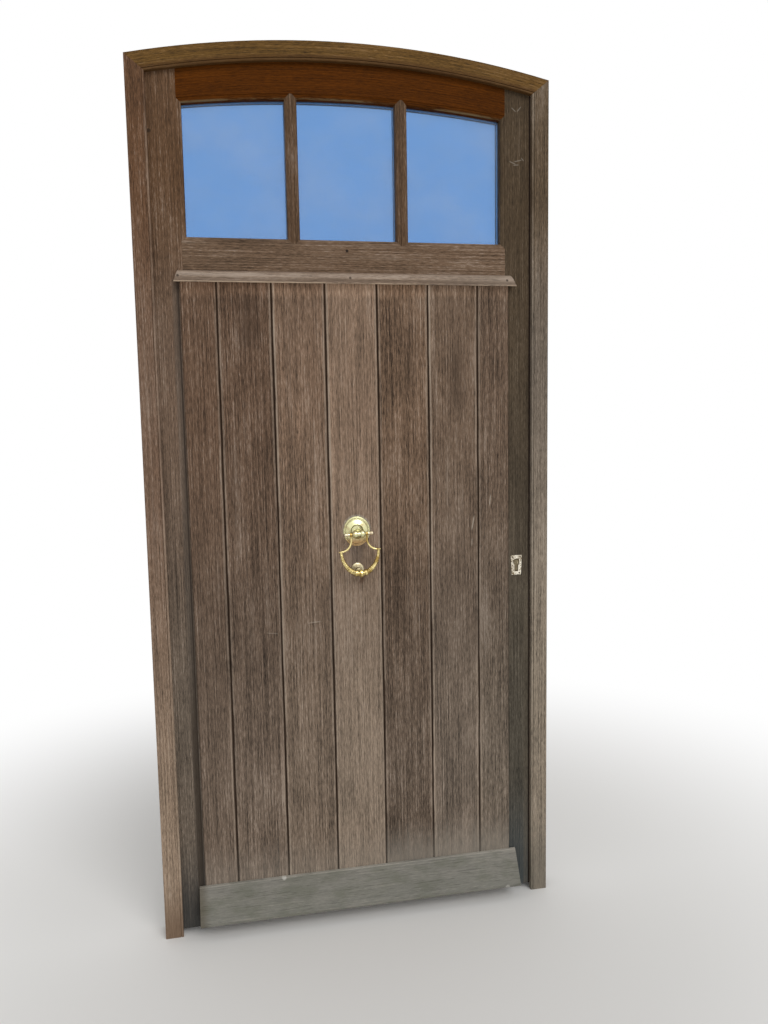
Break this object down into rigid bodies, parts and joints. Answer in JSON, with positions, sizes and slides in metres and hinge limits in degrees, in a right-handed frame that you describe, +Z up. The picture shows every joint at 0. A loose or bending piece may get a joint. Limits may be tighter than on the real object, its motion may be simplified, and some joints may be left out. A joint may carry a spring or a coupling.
{
  "type": "arched front door",
  "caption": "Arched timber front door in a rebated frame: vertical boards below, arched panes above, ring knocker, drip moulding, weatherboard and mortise lock.",
  "frame": {"origin": "foot of the frame, midway in its width; in depth midway through the frame", "axes": "+Z up, +X to the right as seen from the street, +Y into the house"},
  "size_m": [1, 0.149, 2.141],
  "materials": {
    "frame_wood": "dark stained, weathered timber",
    "leaf_wood": "dark stained, weathered timber",
    "board_wood": "grey-brown weathered timber",
    "weathered_wood": "grey weathered timber",
    "glass": "clear float glass",
    "spacer_metal": "dull",
    "hinge_steel": "satin",
    "lock_steel": "satin",
    "cylinder_brass": "satin",
    "plate_brass": "worn, dull",
    "knocker_brass": "polished",
    "rose_brass": "polished, with a dull flange"
  },
  "bodies": {
    "frame": {"frame_facing_left": "frame_wood", "frame_facing_right": "frame_wood", "frame_facing_arch": "frame_wood", "frame_lining_left": "frame_wood", "frame_lining_right": "frame_wood", "frame_lining_arch": "frame_wood", "hinge_frame_half_1": "hinge_steel", "hinge_frame_half_2": "hinge_steel", "hinge_frame_half_3": "hinge_steel", "hinge_pin_1": "hinge_steel", "hinge_pin_2": "hinge_steel", "hinge_pin_3": "hinge_steel", "strike_plate": "lock_steel"},
    "leaf": {"stile_left": "leaf_wood", "stile_right": "leaf_wood", "top_rail": "leaf_wood", "middle_rail": "leaf_wood", "ledge_rail": "leaf_wood", "bottom_rail": "leaf_wood", "glazing_bar_1": "leaf_wood", "glazing_bar_2": "leaf_wood", "glazing_beads_1": "leaf_wood", "glazing_beads_2": "leaf_wood", "glazing_beads_3": "leaf_wood", "board_1": "board_wood", "board_2": "board_wood", "board_3": "board_wood", "board_4": "board_wood", "board_5": "board_wood", "board_6": "board_wood", "board_7": "board_wood", "drip_moulding": "weathered_wood", "weatherboard": "weathered_wood", "glass_pane_1": "glass", "glass_pane_2": "glass", "glass_pane_3": "glass", "glass_spacer_1": "spacer_metal", "glass_spacer_2": "spacer_metal", "glass_spacer_3": "spacer_metal", "hinge_leaf_half_1": "hinge_steel", "hinge_leaf_half_2": "hinge_steel", "hinge_leaf_half_3": "hinge_steel", "lock_case": "lock_steel", "lock_faceplate": "lock_steel", "cylinder_body": "cylinder_brass", "inside_plate": "cylinder_brass", "outer_plate": "plate_brass", "knocker_rose": "rose_brass", "knocker_pin": "knocker_brass", "knocker_strike": "knocker_brass", "knocker_nuts": "knocker_brass"},
    "knocker": {"knocker_ring": "knocker_brass"},
    "latch": {"latch_bolt": "lock_steel"},
    "dead_bolt": {"dead_bolt": "lock_steel"},
    "knob": {"lock_follower": "lock_steel", "lock_spindle": "lock_steel", "inside_knob": "cylinder_brass"},
    "turn": {"cylinder_plug": "cylinder_brass", "cylinder_cam": "cylinder_brass", "thumbturn": "cylinder_brass"}
  },
  "joints": [
    {"name": "leaf_swing", "type": "hinge", "parent": "frame", "child": "leaf", "pos_m": [-0.4675, 0.036, 0], "axis": [0, 0, 1], "range_deg": [0, 110]},
    {"name": "knocker_swing", "type": "hinge", "parent": "leaf", "child": "knocker", "pos_m": [0.00215, -0.049, 0.9935], "axis": [-0.999, 0, -0.0436], "range_deg": [0, 170]},
    {"name": "knob_turn", "type": "hinge", "parent": "leaf", "child": "knob", "pos_m": [0.42, 0.032, 0.97], "axis": [0, 1, 0], "range_deg": [0, 45]},
    {"name": "latch_slide", "type": "slide", "parent": "leaf", "child": "latch", "axis": [1, 0, 0], "range_m": [0, 0.012]},
    {"name": "thumb_turn", "type": "hinge", "parent": "leaf", "child": "turn", "pos_m": [0.42, 0.032, 0.898], "axis": [0, 1, 0], "range_deg": [0, 360]},
    {"name": "dead_bolt_slide", "type": "slide", "parent": "leaf", "child": "dead_bolt", "axis": [1, 0, 0], "range_m": [0, 0.02]}
  ],
  "couplings": [
    {"joint": "latch_slide", "follows": "knob_turn", "m_per_rad": 0.015279},
    {"joint": "dead_bolt_slide", "follows": "thumb_turn", "m_per_rad": 0.003183}
  ]
}
